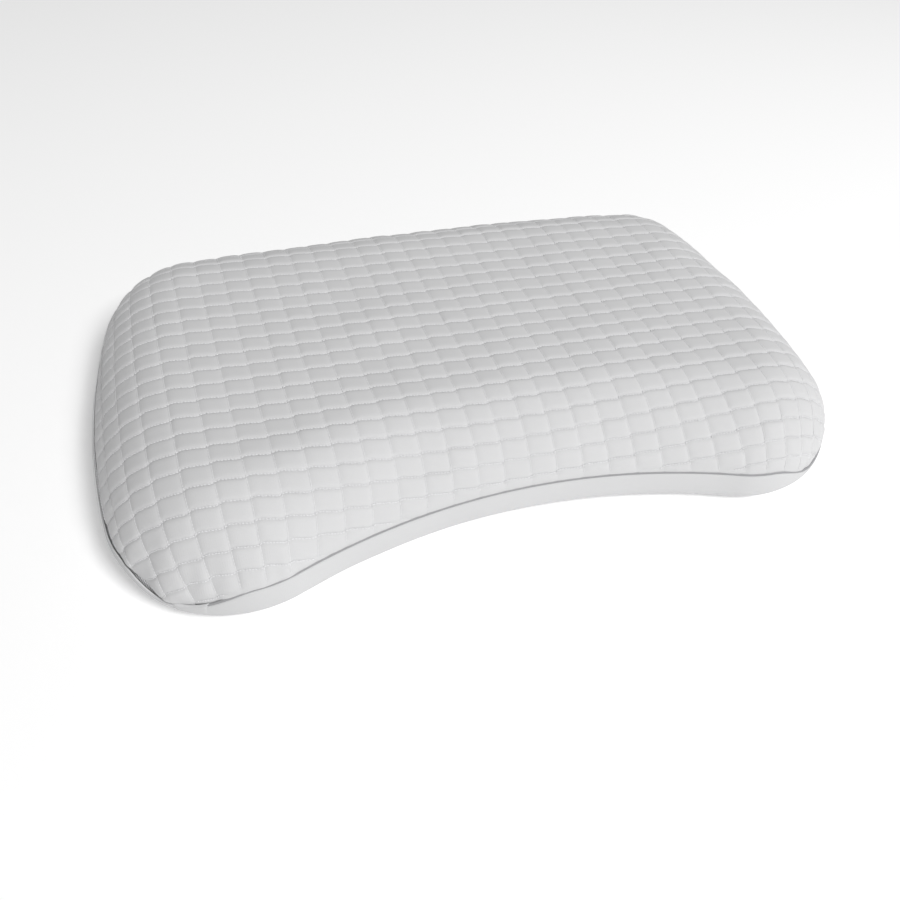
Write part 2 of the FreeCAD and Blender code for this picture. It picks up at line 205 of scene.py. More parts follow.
# ---- stage
FLOOR_SIZE = 14
FLOOR_DROP = 0.0004
FLOOR_GLOW = 0.20
SKY_LIGHT = 0.315
KEY_PLACE = (1.3, -2.2, 3.1)
KEY_SIZE = 1.3
KEY_POWER = 111
SENSOR = 36

# ---- camera
CAMERA_AZIMUTH = -21.44
CAMERA_ELEVATION = 46.38
CAMERA_ROLL = 5.37
CAMERA_PLACE = (-0.2100, -0.4912, 0.4902)
FOCAL_SHARE = 0.8400        # focal length over the picture's width
CAMERA_SHIFT = (0.0171, -0.0125)


# ---- outline and section
class Arc:
    """One arc of the plan outline. outward is +1 where it bulges and -1 where it is hollow."""

    def __init__(self, name, centre, radius, start, end, outward=1):
        self.name = name
        self.centre = np.array(centre, float)
        self.radius = radius
        self.start = start
        self.outward = outward
        turn = (end - start) % (2 * math.pi)
        self.span = turn if turn <= math.pi else turn - 2 * math.pi

    def directions(self, shares):
        angle = self.start + self.span * np.asarray(shares, float)
        return np.stack([np.cos(angle), np.sin(angle)], 1)


def circle_meet(c1, r1, c2, r2, near):
    gap = c2 - c1
    dist = np.linalg.norm(gap)
    along = (r1 * r1 - r2 * r2 + dist * dist) / (2 * dist)
    side = math.sqrt(r1 * r1 - along * along)
    unit = gap / dist
    across = np.array([-unit[1], unit[0]]) * side
    found = (c1 + unit * along + across, c1 + unit * along - across)
    return min(found, key=lambda p: np.linalg.norm(p - near))


def angle_of(centre, point):
    return math.atan2(point[1] - centre[1], point[0] - centre[0])


def mirrored(arc, name):
    centre = arc.centre * [-1, 1]
    end = arc.start + arc.span
    return Arc(name, centre, arc.radius, math.pi - end, math.pi - arc.start, arc.outward)


def make_outline():
    mean_x = LENGTH / 2 - END_BOW
    back_x = mean_x - END_TAPER / 2
    front_x = mean_x + END_TAPER / 2
    half = CORNER_DEPTH / 2
    back_point = np.array([-back_x, half])
    front_point = np.array([-front_x, -half])
    back_r = (back_x ** 2 + BACK_BOW ** 2) / (2 * BACK_BOW)
    back_c = np.array([0, half + BACK_BOW - back_r])
    chord = np.linalg.norm(back_point - front_point) / 2
    end_r = (chord ** 2 + END_BOW ** 2) / (2 * END_BOW)
    along = (back_point - front_point) / (2 * chord)
    end_c = (back_point + front_point) / 2 - np.array([-along[1], along[0]]) * (end_r - END_BOW)
    front_r = (front_x ** 2 + FRONT_HOLLOW ** 2) / (2 * FRONT_HOLLOW)
    front_c = np.array([0, -half + FRONT_HOLLOW - front_r])
    corner_b = circle_meet(
        back_c, back_r - BACK_CORNER_R, end_c, end_r - BACK_CORNER_R, back_point
    )
    corner_f = circle_meet(
        front_c, front_r + FRONT_CORNER_R, end_c, end_r - FRONT_CORNER_R, front_point
    )
    a_back = angle_of(back_c, corner_b)
    a_high = angle_of(end_c, corner_b)
    a_low = angle_of(end_c, corner_f)
    a_front = angle_of(front_c, corner_f)
    shift = np.array([0, -(half + BACK_BOW + corner_f[1] - FRONT_CORNER_R) / 2])
    left_back = Arc("left_back", corner_b + shift, BACK_CORNER_R, a_back, a_high)
    left_end = Arc("left_end", end_c + shift, end_r, a_high, a_low)
    left_front = Arc("left_front", corner_f + shift, FRONT_CORNER_R, a_low, a_front + math.pi)
    return [
        Arc("back", back_c + shift, back_r, math.pi - a_back, a_back),
        left_back,
        left_end,
        left_front,
        Arc("front", front_c + shift, front_r, a_front, math.pi - a_front, -1),
        mirrored(left_front, "right_front"),
        mirrored(left_end, "right_end"),
        mirrored(left_back, "right_back"),
    ]


OUTLINE = make_outline()
ARCS = {arc.name: arc for arc in OUTLINE}


def bezier(points, u):
    p = np.array(points, float)
    u = np.asarray(u, float)[:, None]
    v = 1 - u
    place = v ** 3 * p[0] + 3 * v * v * u * p[1] + 3 * v * u * u * p[2] + u ** 3 * p[3]
    slope = v * v * (p[1] - p[0]) + 2 * v * u * (p[2] - p[1]) + u * u * (p[3] - p[2])
    slope /= np.linalg.norm(slope, axis=1)[:, None]
    return place, np.stack([-slope[:, 1], slope[:, 0]], 1)


def make_section():
    """The outer face from the flat top's edge to the bottom face: places, normals, arc length."""
    rise = HEIGHT - GIRTH_Z
    shoulder = [
        (-TOP_ROUNDING, HEIGHT),
        (-TOP_ROUNDING * (1 - TOP_FULLNESS), HEIGHT),
        (0, GIRTH_Z + rise * SIDE_FULLNESS),
        (0, GIRTH_Z),
    ]
    under = [
        (0, GIRTH_Z),
        (0, GIRTH_Z * (1 - UNDER_FULLNESS)),
        (-TUCK * (1 - UNDER_FULLNESS), 0),
        (-TUCK, 0),
    ]
    u = np.linspace(0, 1, SECTION_STEPS)
    high, high_n = bezier(shoulder, u)
    low, low_n = bezier(under, u)
    place = np.concatenate([high, low[1:]])
    normal = np.concatenate([high_n, low_n[1:]])
    steps = np.linalg.norm(np.diff(place, axis=0), axis=1)
    return place, normal, np.concatenate([[0], np.cumsum(steps)])


SECTION, SECTION_N, SECTION_S = make_section()


def at_length(s):
    """(r, z) and the normal at an arc length down the face."""
    r = np.interp(s, SECTION_S, SECTION[:, 0])
    z = np.interp(s, SECTION_S, SECTION[:, 1])
    nr = np.interp(s, SECTION_S, SECTION_N[:, 0])
    nz = np.interp(s, SECTION_S, SECTION_N[:, 1])
    return r, z, nr, nz


def length_at(z):
    return float(np.interp(-z, -SECTION[:, 1], SECTION_S))


SEAM_S = length_at(SEAM_Z)


def smooth(t):
    t = np.clip(t, 0, 1)
    return t * t * (3 - 2 * t)


def hem_half(arc, shares):
    """Half the opening between the hems: sewn shut, open along the zip, wider for the slider."""
    run = np.asarray(shares, float) * abs(arc.span) * arc.radius
    whole = abs(arc.span) * arc.radius
    if arc.name == "back":
        wide = HEM + (SLIDER_HEM - HEM) * smooth(run / HEM_EASE)
        return wide + (ZIP_HEM - SLIDER_HEM) * smooth(1 - (whole - run) / HEM_EASE)
    if arc.name in ("left_back", "left_end"):
        return np.full(len(run), ZIP_HEM)
    if arc.name == "left_front":
        return ZIP_HEM + (HEM - ZIP_HEM) * smooth((run - ZIP_SHARE * whole) / HEM_EASE)
    return np.full(len(run), HEM)


def seam_drop(arc, shares):
    """How far down the face the seam runs below its usual line."""
    shares = np.asarray(shares, float)
    if arc.name not in ("left_front", "right_front"):
        return np.zeros(len(shares))
    return SEAM_DIP * smooth(1 - np.abs(shares - 0.5) / DIP_REACH)


def seam_line(stations):
    return np.array([SEAM_S + seam_drop(arc, [share])[0] for arc, share in stations])


def corner_pull(arc, share):
    """Where the cloth below the zip is drawn in: along the left end and into its front corner."""
    if arc.name == "left_end":
        return CORNER_PULL * float(smooth(share))
    if arc.name == "left_front":
        return CORNER_PULL * float(smooth(1 - (share - PULL_FADE_FROM) / PULL_FADE))
    return 0.0


def round_outline(step):
    """Every arc sampled about step apart: (arc, share) with no repeats."""
    found = []
    for arc in OUTLINE:
        count = max(4, int(round(abs(arc.span) * arc.radius / step)))
        found += [(arc, i / count) for i in range(count)]
    return found


def on_face(stations, s, out=0.0):
    """3-D points and normals at each station's own arc length."""
    e = np.array([arc.directions([share])[0] for arc, share in stations])
    centre = np.array([arc.centre for arc, _ in stations])
    radius = np.array([arc.radius for arc, _ in stations])
    sign = np.array([arc.outward for arc, _ in stations])
    r, z, nr, nz = at_length(s)
    xy = centre + e * (radius + sign * r)[:, None]
    normal = np.concatenate([e * (sign * nr)[:, None], nz[:, None]], 1)
    return np.concatenate([xy, z[:, None]], 1) + normal * np.reshape(out, (-1, 1)), normal


# ---- the cloth: flat coordinates to the surface
def cloth_to_face(p):
    """Flat cloth points to 3-D. Past the flat top's edge the cloth runs straight down the wall.

    Returns places, normals, and for each point its arc length down the wall, how much the cloth
    is gathered there, its distance round the outline, and the seam's own arc length."""
    best = np.full(len(p), np.inf)
    xy = p.copy()
    normal = np.tile([0.0, 0.0, 1.0], (len(p), 1))
    z = np.full(len(p), HEIGHT)
    gather = np.zeros(len(p))
    around = np.zeros(len(p))
    drop = np.zeros(len(p))
    before = 0.0
    for arc in OUTLINE:
        v = p - arc.centre
        reach = np.linalg.norm(v, axis=1)
        e = v / reach[:, None]
        turn = np.arctan2(v[:, 1], v[:, 0]) - arc.start
        turn = (turn + math.pi) % (2 * math.pi) - math.pi
        share = turn / arc.span
        inner = arc.radius - arc.outward * TOP_ROUNDING
        q = arc.outward * (reach - inner)
        mine = (share > -TINY) & (share < 1 + TINY) & (q > 0) & (q < best)
        r, height, nr, nz = at_length(q)
        outer = arc.radius + arc.outward * r
        best[mine] = q[mine]
        xy[mine] = (arc.centre + e * outer[:, None])[mine]
        z[mine] = height[mine]
        tilt = np.concatenate([e * (arc.outward * nr)[:, None], nz[:, None]], 1)
        normal[mine] = tilt[mine]
        drop[mine] = seam_drop(arc, share)[mine]
        kept = 1.0 if arc.name == "left_front" else OTHER_GATHER
        gather[mine] = (reach / np.maximum(outer, TINY) - 1)[mine] * kept
        around[mine] = before + (share * abs(arc.span) * arc.radius)[mine]
        before += abs(arc.span) * arc.radius
    s = np.where(np.isfinite(best), best, 0.0)
    wall = np.stack([s, np.clip(gather, 0, MOST_GATHER), around, SEAM_S + drop], 1)
    return np.concatenate([xy, z[:, None]], 1), normal, wall


def cloth_hem(step):
    """The hem's closed line in flat cloth coordinates."""
    points = []
    for arc, share in round_outline(step):
        inner = arc.radius - arc.outward * TOP_ROUNDING
        s = SEAM_S + seam_drop(arc, [share])[0] - hem_half(arc, [share])[0]
        points.append(arc.centre + arc.directions([share])[0] * (inner + arc.outward * s))
    return np.array(points)


def line_wave(u):
    """A lengthwise line jumps back just past each crosswise one, then drifts forward again."""
    turn = 2 * math.pi * u
    return WAVE * (np.sin(turn) + WAVE_JUMP * np.sin(2 * turn))


def quilt_to_cloth(grid):
    """Quilt coordinates, in cells, to flat cloth coordinates."""
    u = grid[:, 0] * COLUMN + QUILT_SHIFT[0]
    v = (grid[:, 1] + line_wave(grid[:, 0])) * ROW + QUILT_SHIFT[1]
    u = u + math.tan(QUILT_SKEW) * v
    c, s = math.cos(QUILT_TURN), math.sin(QUILT_TURN)
    return np.stack([c * u - s * v, s * u + c * v], 1)


def cloth_to_quilt(p):
    c, s = math.cos(QUILT_TURN), math.sin(QUILT_TURN)
    u = c * p[:, 0] + s * p[:, 1]
    v = -s * p[:, 0] + c * p[:, 1]
    u = (u - math.tan(QUILT_SKEW) * v - QUILT_SHIFT[0]) / COLUMN
    return np.stack([u, (v - QUILT_SHIFT[1]) / ROW - line_wave(u)], 1)


CELLS = 24                  # cells counted each way from the middle, past every edge
CELL_PUFF = 1 + CELL_SPREAD * rng.standard_normal((2 * CELLS, 2 * CELLS))
CELL_TILT = CELL_SPREAD * rng.standard_normal((2 * CELLS, 2 * CELLS))


def soft_noise(p, size, seed):
    """Smooth value noise on flat coordinates."""
    table = np.random.default_rng(seed).uniform(-1, 1, (NOISE_CELLS, NOISE_CELLS))
    g = p / size
    cell = np.floor(g).astype(int)
    t = smooth(g - cell)
    i, j = cell[:, 0] % NOISE_CELLS, cell[:, 1] % NOISE_CELLS
    i2, j2 = (i + 1) % NOISE_CELLS, (j + 1) % NOISE_CELLS
    low = table[i, j] * (1 - t[:, 0]) + table[i2, j] * t[:, 0]
    high = table[i, j2] * (1 - t[:, 0]) + table[i2, j2] * t[:, 0]
    return low * (1 - t[:, 1]) + high * t[:, 1]


def quilt_height(p, wall):
    """How far the quilted face stands off the smooth form."""
    s = wall[:, 0]
    g = cloth_to_quilt(p)
    cell = np.floor(g).astype(int)
    u = 2 * (g[:, 0] - cell[:, 0]) - 1
    v = 2 * (g[:, 1] - cell[:, 1]) - 1
    i = np.clip(cell[:, 0] + CELLS, 0, 2 * CELLS - 1)
    j = np.clip(cell[:, 1] + CELLS, 0, 2 * CELLS - 1)
    dome = 1 - CROSS_DIP * np.abs(u) ** CROSS_EDGE
    dome = dome * (1 - LONG_DIP * np.abs(v) ** LONG_EDGE)
    dome *= 1 + CELL_TILT[i, j] * v * (1 - np.abs(v) ** 3)
    puff = PUFF * CELL_PUFF[i, j] * dome
    groove = -GROOVE * np.exp(-((1 - np.abs(v)) * ROW / 2 / GROOVE_WIDTH) ** 2)
    hem = smooth((wall[:, 3] - HEM - s) / HEM_FADE)
    ease = EASE * soft_noise(p, EASE_SIZE, seed=3)
    folds = gather_folds(wall)
    sunk = np.clip(s / SINK_LENGTH, 0, 1) * SINK
    return (puff + groove) * (HEM_PUFF + (1 - HEM_PUFF) * hem) + ease * hem + folds - sunk


def gather_folds(wall):
    """Upright folds near the seam where the cloth is gathered round a convex corner."""
    s, gather, around, _ = wall.T
    folds = 0.0
    for seed, (height, width, change) in ((5, BROAD_FOLD), (6, FINE_FOLD)):
        folds = folds + height * soft_noise(np.stack([around, s * change], 1), width, seed)
    return folds * smooth((s - FOLD_FROM) / FOLD_RISE) * gather / FULL_GATHER


# ---- mesh helpers
def make_mesh(name, verts, faces, shaded_smooth=True):
    mesh = bpy.data.meshes.new(name)
    mesh.from_pydata([tuple(v) for v in verts], [], [tuple(int(i) for i in f) for f in faces])
    mesh.validate()
    obj = bpy.data.objects.new(name, mesh)
    bpy.context.scene.collection.objects.link(obj)
    if shaded_smooth:
        mesh.polygons.foreach_set("use_smooth", [True] * len(mesh.polygons))
    return obj


def face_up(obj):
    bm = bmesh.new()
    bm.from_mesh(obj.data)
    bmesh.ops.recalc_face_normals(bm, faces=bm.faces)
    bm.to_mesh(obj.data)
    bm.free()


def inside(points, loop):
    """Whether each point is inside a closed flat line."""
    hit = np.zeros(len(points), bool)
    a, b = loop, np.roll(loop, -1, 0)
    for (x0, y0), (x1, y1) in zip(a, b):
        crosses = (y0 > points[:, 1]) != (y1 > points[:, 1])
        if crosses.any():
            at = x0 + (points[:, 1] - y0) * (x1 - x0) / (y1 - y0 + 1e-15)
            hit ^= crosses & (points[:, 0] < at)
    return hit


def distance_to(points, loop):
    """Rough distance from each point to the samples of a line."""
    near = np.full(len(points), np.inf)
    for start in range(0, len(loop), 64):
        gap = points[:, None] - loop[None, start:start + 64]
        near = np.minimum(near, np.sqrt((gap ** 2).sum(2)).min(1))
    return near


def cell_steps(count):
    """Places across one cell, closer together near its stitch lines."""
    t = np.linspace(0, 1, count + 1)[:-1]
    return t - CROWDING * np.sin(2 * math.pi * t) / (2 * math.pi)


def filled(loop, grid_u, grid_v, to_flat, margin):
    """A flat mesh inside loop: the grid's own quads, and triangles from them to the loop."""
    uu, vv = np.meshgrid(grid_u, grid_v, indexing="ij")
    flat = to_flat(np.stack([uu.ravel(), vv.ravel()], 1))
    keep = inside(flat, loop) & (distance_to(flat, loop) > margin)
    keep = keep.reshape(uu.shape)
    whole = keep[:-1, :-1] & keep[1:, :-1] & keep[1:, 1:] & keep[:-1, 1:]
    number = np.arange(uu.size).reshape(uu.shape)
    i, j = np.nonzero(whole)
    quads = np.stack([number[i, j], number[i + 1, j], number[i + 1, j + 1], number[i, j + 1]], 1)
    used = np.unique(quads)
    new = np.full(uu.size, -1)
    new[used] = np.arange(len(used))
    quads = new[quads]
    points = flat[used]
    count = {}
    for quad in quads:
        for a, b in zip(quad, np.roll(quad, -1)):
            key = (min(a, b), max(a, b))
            count[key] = count.get(key, 0) + 1
    rim = [key for key, times in count.items() if times == 1]
    rim_ids = sorted({i for key in rim for i in key})
    local = {v: k for k, v in enumerate(rim_ids)}
    base = len(rim_ids)
    verts = [Vector(points[i]) for i in rim_ids] + [Vector(p) for p in loop]
    edges = [(local[a], local[b]) for a, b in rim]
    edges += [(base + k, base + (k + 1) % len(loop)) for k in range(len(loop))]
    out_v, _, out_f, orig, _, _ = delaunay_2d_cdt(verts, edges, [], 0, 1e-9)
    centres = np.array([np.mean([tuple(out_v[i]) for i in f], 0) for f in out_f])
    rim_loops = ordered_loops(rim, points)
    ok = inside(centres, loop)
    for ring in rim_loops:
        ok &= ~inside(centres, ring)
    target = []
    for k, source in enumerate(orig):
        first = source[0]
        target.append(rim_ids[first] if first < base else len(points) + first - base)
    tris = [[target[i] for i in f] for f, good in zip(out_f, ok) if good]
    all_points = np.concatenate([points, loop])
    faces = [list(q) for q in quads] + tris
    return all_points, faces, np.arange(len(points), len(all_points))


def ordered_loops(edges, points):
    """Closed lines from loose edges."""
    links = {}
    for a, b in edges:
        links.setdefault(a, []).append(b)
        links.setdefault(b, []).append(a)
    left = set(links)
    loops = []
    while left:
        start = next(iter(left))
        ring, before, here = [start], None, start
        left.discard(start)
        while True:
            onward = [n for n in links[here] if n != before and n in left]
            if not onward:
                break
            before, here = here, onward[0]
            left.discard(here)
            ring.append(here)
        loops.append(points[ring])
    return loops


# ---- materials
def new_material(name, colour, roughness, sheen=0.0, metallic=0.0):
    material = bpy.data.materials.new(name)
    material.use_nodes = True
    shader = material.node_tree.nodes["Principled BSDF"]
    shader.inputs["Base Color"].default_value = (*colour, 1)
    shader.inputs["Roughness"].default_value = roughness
    shader.inputs["Metallic"].default_value = metallic
    shader.inputs["Sheen Weight"].default_value = sheen
    shader.inputs["Sheen Roughness"].default_value = 0.4
    return material, material.node_tree, shader


def add(tree, kind, **values):
    node = tree.nodes.new(kind)
    for key, value in values.items():
        if key in node.inputs:
            node.inputs[key].default_value = value
        else:
            setattr(node, key, value)
    return node


def tinted(tree, shader, colour, scale, strength):
    """Faint, large-scale unevenness in the cloth's colour."""
    place = add(tree, "ShaderNodeTexCoord")
    noise = add(tree, "ShaderNodeTexNoise", Scale=scale, Detail=4.0)
    ramp = add(tree, "ShaderNodeValToRGB")
    dark = [c * (1 - strength) for c in colour]
    ramp.color_ramp.elements[0].position = 0.3
    ramp.color_ramp.elements[0].color = (*dark, 1)
    ramp.color_ramp.elements[1].position = 0.7
    ramp.color_ramp.elements[1].color = (*colour, 1)
    tree.links.new(place.outputs["Object"], noise.inputs["Vector"])
    tree.links.new(noise.outputs["Fac"], ramp.inputs["Fac"])
    tree.links.new(ramp.outputs["Color"], shader.inputs["Base Color"])
    return place


def knit(name, colour, loop_size, depth):
    """Fine jersey: rows of small loops as bump, with soft unevenness of colour."""
    material, tree, shader = new_material(name, colour, 0.88, sheen=0.12)
    place = tinted(tree, shader, colour, 14.0, 0.035)
    rows = add(tree, "ShaderNodeTexWave", Scale=1 / loop_size / 6.3, Distortion=1.2)
    rows.bands_direction = "Y"
    loops = add(tree, "ShaderNodeTexWave", Scale=1 / loop_size / 6.3, Distortion=1.0)
    loops.bands_direction = "X"
    fuzz = add(tree, "ShaderNodeTexNoise", Scale=1 / loop_size, Detail=3.0)
    for node in (rows, loops, fuzz):
        tree.links.new(place.outputs["Object"], node.inputs["Vector"])
    mix = add(tree, "ShaderNodeMath", operation="MULTIPLY")
    tree.links.new(rows.outputs["Fac"], mix.inputs[0])
    tree.links.new(loops.outputs["Fac"], mix.inputs[1])
    both = add(tree, "ShaderNodeMath", operation="ADD")
    tree.links.new(mix.outputs[0], both.inputs[0])
    tree.links.new(fuzz.outputs["Fac"], both.inputs[1])
    bump = add(tree, "ShaderNodeBump", Strength=0.25, Distance=depth)
    tree.links.new(both.outputs[0], bump.inputs["Height"])
    tree.links.new(bump.outputs["Normal"], shader.inputs["Normal"])
    return material


def grained(name, colour, roughness, scale, depth, sheen=0.0, metallic=0.0):
    """Fibre, foam, moulded plastic or cast metal: one noise for both colour and bump."""
    material, tree, shader = new_material(name, colour, roughness, sheen, metallic)
    place = tinted(tree, shader, colour, scale * 0.2, 0.05)
    noise = add(tree, "ShaderNodeTexNoise", Scale=scale, Detail=5.0)
    bump = add(tree, "ShaderNodeBump", Strength=0.3, Distance=depth)
    tree.links.new(place.outputs["Object"], noise.inputs["Vector"])
    tree.links.new(noise.outputs["Fac"], bump.inputs["Height"])
    tree.links.new(bump.outputs["Normal"], shader.inputs["Normal"])
    return material


MATERIALS = {
    "quilted_knit": knit("quilted_knit", (0.68, 0.68, 0.685), 0.0008, 0.0002),
    "plain_knit": knit("plain_knit", (0.67, 0.67, 0.675), 0.0008, 0.00015),
    "liner_jersey": knit("liner_jersey", (0.85, 0.85, 0.85), 0.0012, 0.0002),
    "wadding": grained("wadding", (0.9, 0.9, 0.9), 0.95, 900, 0.0004),
    "backing_cloth": grained("backing_cloth", (0.8, 0.8, 0.8), 0.9, 1500, 0.0001),
    "memory_foam": grained("memory_foam", (0.9, 0.87, 0.78), 0.9, 1200, 0.0003),
    "stitch_thread": grained("stitch_thread", (0.86, 0.86, 0.87), 0.55, 3000, 0.00005, 0.1),
    # welt_cloth is darker than the welt's own grey: painted shade, so the cord reads as the shadow
    # line in the seam
    "welt_cloth": grained("welt_cloth", (0.36, 0.36, 0.37), 0.9, 1800, 0.0001),
    "zip_tape": grained("zip_tape", (0.60, 0.60, 0.61), 0.85, 2200, 0.0001),
    "zip_coil": grained("zip_coil", (0.70, 0.70, 0.71), 0.45, 2500, 0.00003),
    "zip_metal": grained("zip_metal", (0.72, 0.72, 0.73), 0.35, 800, 0.00002, metallic=0.6),
    "label_cloth": grained("label_cloth", (0.9, 0.9, 0.9), 0.7, 2600, 0.00004, 0.1),
}


def dress(obj, slot, *nodes):
    obj.data.materials.clear()
    obj.data.materials.append(MATERIALS[slot])
    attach(obj, "cushion")
    if nodes:
        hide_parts(*nodes)
    return obj


# ---- pieces
QUILT_STEPS = 12


def top_panel():
    loop = cloth_hem(HEM_STEP)
    reach_u = int(CLOTH_REACH[0] / COLUMN) + 1
    reach_v = int(CLOTH_REACH[1] / ROW) + 1
    steps = cell_steps(QUILT_STEPS)
    grid_u = np.concatenate([i + steps for i in range(-reach_u, reach_u)])
    grid_v = np.concatenate([i + steps for i in range(-reach_v, reach_v)])
    points, faces, hem = filled(loop, grid_u, grid_v, quilt_to_cloth, RIM_MARGIN)
    place, normal, wall = cloth_to_face(points)
    outer = place + normal * quilt_height(points, wall)[:, None]
    # the hem turns under, so the piece has a real edge and a back
    turned = []
    for depth, along in HEM_TURN:
        down = np.cross(normal[hem], np.cross([0, 0, 1.0], normal[hem]))
        down /= np.linalg.norm(down, axis=1)[:, None]
        turned.append(outer[hem] - normal[hem] * depth - down * along)
    verts = np.concatenate([outer, *turned])
    n, m = len(outer), len(hem)
    previous = hem
    for k in range(len(turned)):
        ring = n + k * m + np.arange(m)
        for a in range(m):
            b = (a + 1) % m
            faces.append([previous[a], previous[b], ring[b], ring[a]])
        previous = ring
    obj = make_mesh("top_panel", verts, faces)
    face_up(obj)
    return dress(obj, "quilted_knit", "top_face_fabric", "top_wadding", "top_backing")


def bottom_panel():
    stations = round_outline(BOTTOM_STEP)
    end = SECTION_S[-1]
    rings = []
    hem = np.array([hem_half(arc, [share])[0] for arc, share in stations])
    seam = seam_line(stations)
    pull = np.array([corner_pull(arc, share) for arc, share in stations])
    inward = np.array([-arc.outward * arc.directions([share])[0] for arc, share in stations])
    around = np.arange(len(stations)) * BOTTOM_STEP
    for depth, extra in BOTTOM_TURN:
        rings.append(on_face(stations, seam + hem + extra, -depth)[0])
    for k in range(BOTTOM_ROWS + 1):
        s = seam + hem + (end - seam - hem) * k / BOTTOM_ROWS
        share = k / BOTTOM_ROWS
        down = np.full(len(around), share * BOTTOM_NOISE)
        noise = soft_noise(np.stack([around, down], 1), BOTTOM_NOISE, seed=9)
        bulge = BOTTOM_BULGE * math.sin(math.pi * share) * (1 + BOTTOM_UNEVEN * noise)
        points, _ = on_face(stations, s, bulge)
        points[:, :2] += inward * (pull * float(smooth(share / PULL_ROWS)))[:, None]
        rings.append(points)
    rings[-1][:, 2] = 0.0
    m = len(stations)
    verts = np.concatenate(rings)
    faces = []
    for k in range(len(rings) - 1):
        for a in range(m):
            b = (a + 1) % m
            faces.append([k * m + a, k * m + b, (k + 1) * m + b, (k + 1) * m + a])
    base = (len(rings) - 1) * m
    loop = rings[-1][:, :2]
    grid_x, grid_y = (np.arange(-reach, reach, UNDER_STEP) for reach in UNDER_REACH)
    points, under, _ = filled(loop, grid_x, grid_y, lambda g: g, UNDER_MARGIN)
    inner = len(points) - len(loop)
    offset = len(verts)
    verts = np.concatenate([verts, np.c_[points[:inner], np.zeros(inner)]])
    for f in under:
        faces.append([offset + i if i < inner else base + i - inner for i in f])
    obj = make_mesh("bottom_panel_cloth", verts, faces)
    face_up(obj)
    return dress(obj, "plain_knit", "bottom_panel")


def tube_faces(rings, sides):
    """A tube's side faces ring by ring, then its two caps."""
    faces = []
    for ring in range(rings - 1):
        a, b = ring * sides, (ring + 1) * sides
        for k in range(sides):
            k2 = (k + 1) % sides
            faces.append([a + k, a + k2, b + k2, b + k])
    last = (rings - 1) * sides
    return faces + [list(range(sides))[::-1], list(range(last, last + sides))]


def repeated(pattern, copies, size):
    """The faces of one piece, for each of several copies with size points each."""
    return [[i * size + v for v in face] for i in range(copies) for face in pattern]


def stitches(name, starts, ends, normals, radius, slot, *nodes):
    """Short raised threads from start to end, each a six-sided spindle."""
    along = ends - starts
    size = np.linalg.norm(along, axis=1)
    unit = along / size[:, None]
    side = np.cross(unit, normals)
    side /= np.linalg.norm(side, axis=1)[:, None]
    lift = np.cross(side, unit)
    rings = []
    for share, thick, rise in SPINDLE:
        middle = starts + along * share + lift * radius * rise
        for k in range(THREAD_SIDES):
            a = 2 * math.pi * k / THREAD_SIDES
            rings.append(middle + (side * math.cos(a) + lift * math.sin(a)) * radius * thick)
    rings = np.stack(rings, 1)
    faces = repeated(tube_faces(len(SPINDLE), THREAD_SIDES), len(starts), rings.shape[1])
    return dress(make_mesh(name, rings.reshape(-1, 3), faces), slot, *nodes)


def quilt_threads(name, lengthwise, pitch, radius, zigzag, *nodes):
    """Stitches along every quilting line, lying in the relief."""
    loop = cloth_hem(THREAD_LOOP_STEP)
    starts, ends, normals = [], [], []
    cell = COLUMN if lengthwise else ROW
    for line in range(-CELLS + 2, CELLS - 2):
        run = np.arange(-CELLS + 2, CELLS - 2, pitch / cell)
        shift = zigzag * np.where(np.arange(len(run)) % 2, 1, -1)
        other = line + shift / (ROW if lengthwise else COLUMN)
        grid = np.stack([run, other] if lengthwise else [other, run], 1)
        flat = quilt_to_cloth(grid)
        good = inside(flat, loop)
        good &= distance_to(flat, loop) > THREAD_MARGIN
        place, normal, wall = cloth_to_face(flat)
        place = place + normal * (quilt_height(flat, wall) + radius * THREAD_LIFT)[:, None]
        pair = good[:-1] & good[1:]
        gap = (place[1:] - place[:-1]) * THREAD_GAP
        starts.append((place[:-1] + gap)[pair])
        ends.append((place[1:] - gap)[pair])
        normals.append(normal[:-1][pair])
    starts, ends, normals = (np.concatenate(x) for x in (starts, ends, normals))
    return stitches(name, starts, ends, normals, radius, "stitch_thread", *nodes)


def tube_round(name, route, depth, radius, slot, *nodes):
    """A round cord lying in the seam along part of the outline."""
    points, _ = on_face(route, seam_line(route), -depth)
    curve = bpy.data.curves.new(name, "CURVE")
    curve.dimensions = "3D"
    curve.bevel_depth = radius
    curve.bevel_resolution = 3
    curve.use_fill_caps = True
    spline = curve.splines.new("POLY")
    spline.points.add(len(points) - 1)
    for point, place in zip(spline.points, points):
        point.co = (*place, 1)
    raw = bpy.data.objects.new(name + "_line", curve)
    mesh = bpy.data.meshes.new_from_object(raw)
    bpy.data.objects.remove(raw)
    mesh.name = name
    obj = bpy.data.objects.new(name, mesh)
    bpy.context.scene.collection.objects.link(obj)
    return dress(obj, slot, *nodes)


def route_between(parts, step):
    """Stations along (arc name, low share, high share) stretches."""
    found = []
    for name, low, high in parts:
        arc = ARCS[name]
        count = max(2, int(abs(arc.span) * arc.radius * (high - low) / step))
        found += [(arc, low + (high - low) * i / count) for i in range(count)]
    name, _, high = parts[-1]
    return found + [(ARCS[name], high)]


